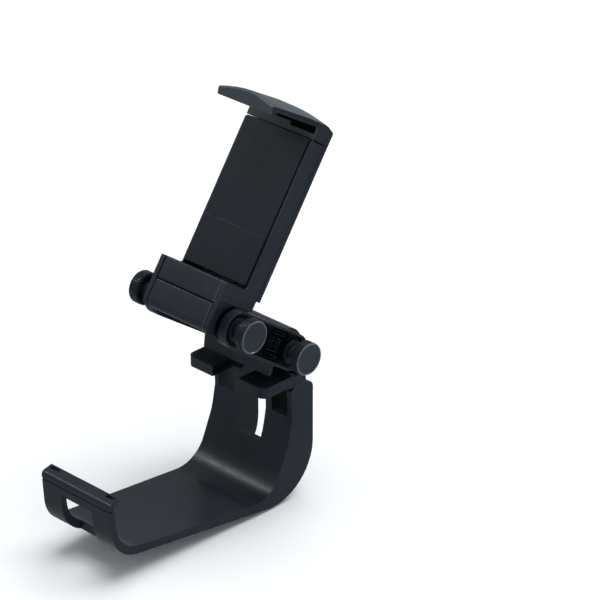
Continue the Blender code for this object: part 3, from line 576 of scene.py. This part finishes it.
# Front panel: the smooth plate that the phone's back rests on, glossier than the
# frame round it. Its lower part stands a fifth of a millimetre further out, which
# draws one line across it.
upper_hinge = Vector((0, 17.4935, 75.4605)) * MM
holder_place = Matrix.Translation(upper_hinge) @ Matrix.Rotation(arm_lean, 4, "X")
panel_half, panel_foot, panel_line, panel_top = 15.9, 15.9, 34.7, 74.3
panel_plastic = moulded("panel_plastic", (0.0068, 0.0096, 0.0150), (0.27, 0.31), 0.02)
lower_part = block((-panel_half, -0.72, panel_foot), (panel_half, 1.0, panel_line))
panel_shape = shaped(block((-panel_half, -0.5, panel_foot), (panel_half, 2.2, panel_top)), ("UNION", lower_part))
finished("front_panel", panel_shape, holder_place, 0.1 * MM, panel_plastic)


# Jaw: the sprung plate behind the holder and its hook, which arches over the phone's
# upper edge. Inside the holder a tongue carries the yoke that the springs pull. Its
# top and front carry painted light, a lighter copy of the plastic, while its end faces
# keep the frame's darker plastic; the gap cut below the hook's right half is painted
# near-black as painted shade.
jaw_half, jaw_top, hook_reach, hook_fall, crown = 17.3, 81.4, 24.6, 2.2, 2.4
plate_front, plate_back, hook_rest = 8.0, 9.6, 74.6
hook_low = jaw_top - hook_fall - 3.0
hook = slab(rounded([
    (plate_back, hook_rest, 0), (plate_back, jaw_top - 1.6, 1.0), (5.0, jaw_top, 6.0), (-6.0, jaw_top - 0.4, 8.0),
    (-hook_reach, jaw_top - hook_fall, 0.9), (-hook_reach + 1.8, hook_low, 0.5),
    (-hook_reach + 3.3, hook_low, 0.4), (-hook_reach + 3.3, jaw_top - hook_fall - 1.5, 0.7),
    (0.5, jaw_top - 2.0, 1.5), (0.5, hook_rest, 0)]),
    -jaw_half, jaw_half)
build = bmesh.new()
build.from_mesh(hook)
strips = 24
for strip in range(1, strips):
    cut_across(build, (jaw_half * (2 * strip / strips - 1) * MM, 0, 0), (1, 0, 0))
# The hook's top is arched across, and the hook narrows towards its front.
for vert in build.verts:
    if vert.co.z > (hook_low + 0.6) * MM:
        vert.co.z += crown * MM * (1 - abs(vert.co.x / (jaw_half * MM)) ** 1.6)
    vert.co.x *= 1 - 0.21 * max(0.0, -vert.co.y / (hook_reach * MM)) ** 1.3
build.to_mesh(hook)
build.free()
tongue = block((-2.6, 5.1, 41.0), (2.6, 9.0, 49.0))
yoke = block((-9.5, 4.6, 43.5), (9.5, 6.1, 46.5))
gap_left, gap_step, gap_right, gap_foot, gap_top, gap_back = -4.0, 4.0, 16.3, 76.6, 79.4, 2.0
plate = block((-jaw_half + 0.02, plate_front, 12.0), (jaw_half - 0.02, plate_back - 0.02, 76.6))
jaw_steps = [("UNION", plate), ("UNION", tongue), ("UNION", yoke),
             ("DIFFERENCE", block((gap_left, -0.4, 78.0), (gap_right, gap_back, gap_top))),
             ("DIFFERENCE", block((gap_step, -0.4, gap_foot), (gap_right, gap_back, gap_top)))]
jaw_painted_light = moulded("jaw_painted_light", (0.0470, 0.0570, 0.0680), (0.28, 0.36), 0.1)
jaw = finished("upper_jaw", shaped(hook, *jaw_steps), holder_place, 0.35 * MM, jaw_painted_light, math.radians(24))
jaw.data.materials.append(painted_shade_plastic)
jaw.data.materials.append(holder_plastic)
# Painted shade in the gap under the hook; the end faces keep the frame's plastic, so they read darker than the
# painted-light rest.
for face in jaw.data.polygons:
    spot = holder_place.inverted() @ face.center / MM
    in_gap = gap_left - 0.1 < spot.x < gap_right + 0.1 and gap_foot - 0.1 < spot.z < gap_top + 0.1
    if in_gap and 0.55 < spot.y < gap_back + 0.1:
        face.material_index = 1
    elif abs(spot.x) > 13.0 and abs(face.normal.x) > 0.8:
        face.material_index = 2


# Thumb knobs: black mouldings on the studs' ends, with a knurled rim whose notch walls
# carry painted shade, a flat face inside a chamfer with a painted highlight, and a hollow
# back with the neck that presses on the washer.
def thumb_knob(node, side, material, slack=0.0):
    """Knob of revolution about the hinge line, with teeth in its rim, unscrewed by its slack."""
    teeth, points, notch = 44, 4, 0.6 * MM
    low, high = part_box(node)
    hinge = ((low[1] + high[1]) / 2, (low[2] + high[2]) / 2)
    start, face = (low[0], high[0]) if side > 0 else (-high[0], -low[0])
    start, face = start + slack, face + slack
    rim = (high[2] - low[2]) / 2 + 0.15 * MM
    back = face - 4.2 * MM
    profile = [(start, 1.8 * MM), (start, 2.6 * MM), (start + 0.2 * MM, 2.8 * MM), (back + 2.0 * MM, 2.8 * MM),
               (back + 2.2 * MM, 3.0 * MM), (back + 2.2 * MM, 4.8 * MM), (back + 1.9 * MM, 5.0 * MM),
               (back + 0.2 * MM, 5.25 * MM), (back, 5.4 * MM), (back, 6.1 * MM), (back + 0.3 * MM, rim),
               (face - 0.42 * MM, rim), (face - 0.1 * MM, rim - 0.16 * MM), (face, rim - 0.32 * MM),
               (face, rim - 0.5 * MM), (face - 0.12 * MM, rim - 0.65 * MM), (face - 0.12 * MM, 0)]
    count = teeth * points
    build = bmesh.new()
    rings = []
    for along, radius in profile[:-1]:
        ring = []
        for step in range(count):
            depth = notch if radius >= rim and step % points == 0 else 0.0
            angle = 2 * math.pi * step / count
            ring.append(build.verts.new((side * along, hinge[0] + (radius - depth) * math.cos(angle),
                                         hinge[1] + (radius - depth) * math.sin(angle))))
        rings.append(ring)
    hub = build.verts.new((side * profile[-1][0], *hinge))
    for first, second in zip(rings, rings[1:]):
        for step in range(count):
            build.faces.new((first[step], first[(step + 1) % count], second[(step + 1) % count], second[step]))
    for step in range(count):
        build.faces.new((rings[-1][step], rings[-1][(step + 1) % count], hub))
    build.faces.new(reversed(rings[0]))
    bmesh.ops.recalc_face_normals(build, faces=build.faces)
    mesh = bpy.data.meshes.new(f"{node}_skin")
    build.to_mesh(mesh)
    build.free()
    mesh.shade_smooth()
    mesh.set_sharp_from_angle(angle=math.radians(28))
    mesh.materials.append(material)
    mesh.materials.append(chamfer_highlight_plastic)
    mesh.materials.append(arm_plastic)
    for polygon in mesh.polygons:
        reach = (polygon.center.yz - Vector(hinge)).length
        lowest = min((mesh.vertices[index].co.yz - Vector(hinge)).length for index in polygon.vertices)
        # Painted shade: the notch walls take the arm's darker plastic.
        in_notch = rim - 1.1 * notch < lowest < rim - 0.7 * notch and reach > rim - notch
        if in_notch and abs(polygon.normal.x) < 0.3:
            polygon.material_index = 2
        # Painted highlight: the chamfer round the face takes a lighter copy of the plastic.
        if abs(polygon.center.x) > face - 0.3 * MM and rim - 0.66 * MM < reach < rim:
            polygon.material_index = 1
    body = frame["nodes"][node]["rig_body"]
    return add_piece(f"{node}_skin", mesh, material, body, "moulded_plastic_light", node)


# Painted highlight on the knobs' chamfers: a lighter copy of the plastic.
chamfer_highlight_plastic = moulded("chamfer_highlight_plastic", (0.0900, 0.1050, 0.1250), (0.24, 0.32), 0.05)
knob_plastic = moulded("knob_plastic", (0.0190, 0.0245, 0.0350), (0.30, 0.38), 0.12)
for place in ("lower", "upper"):
    for end, side in (("left", -1), ("right", 1)):
        unscrewed = 1.3 * MM if (place, end) == ("upper", "left") else 0.0
        thumb_knob(f"{place}_knob_{end}", side, knob_plastic, unscrewed)


# Washers: thin discs drawn in the arm's dark plastic, which lie loose in the arm's
# wells and take the pressure of the knobs' necks.
for place in ("lower", "upper"):
    for end in ("left", "right"):
        rounded_copy(f"{place}_washer_{end}", 0.12 * MM, arm_plastic)


# Hardware: plated M3 studs and captive hexagon nuts, whose plating is dulled by
# handling, and the jaw's two springs of darkened wire.
plated, plated_in, plated_out = new_group(
    "plated_steel", [("Tint", "NodeSocketColor", (0.5, 0.52, 0.54, 1))],
    [("Color", "NodeSocketColor"), ("Roughness", "NodeSocketFloat")])
spot = plated.nodes.new("ShaderNodeTexCoord").outputs["Object"]
tarnish = plated.nodes.new("ShaderNodeVectorMath")
tarnish.operation = "SCALE"
plated.links.new(plated_in.outputs["Tint"], tarnish.inputs[0])
plated.links.new(remap(plated, noise(plated, spot, 700, 3), 0.8, 1.1, usual), tarnish.inputs["Scale"])
plated.links.new(tarnish.outputs["Vector"], plated_out.inputs["Color"])
plated.links.new(remap(plated, noise(plated, spot, 2600, 3), 0.22, 0.42, usual), plated_out.inputs["Roughness"])


def steel(name, tint):
    """Steel with a clouded, unevenly glossy skin of a tint."""
    material = bpy.data.materials.new(name)
    material.use_nodes = True
    tree = material.node_tree
    shader = tree.nodes["Principled BSDF"]
    shader.inputs["Metallic"].default_value = 1.0
    plating = tree.nodes.new("ShaderNodeGroup")
    plating.node_tree = plated
    plating.inputs["Tint"].default_value = (*tint, 1)
    tree.links.new(plating.outputs["Color"], shader.inputs["Base Color"])
    tree.links.new(plating.outputs["Roughness"], shader.inputs["Roughness"])
    return material


finishes = {"stud": steel("plated_steel", (0.55, 0.56, 0.58)), "spring": steel("spring_steel", (0.05, 0.052, 0.056))}
finishes["nut"] = finishes["stud"]
for name, node in frame["nodes"].items():
    for word, finish in finishes.items():
        if word in name:
            node.data.materials.clear()
            node.data.materials.append(finish)
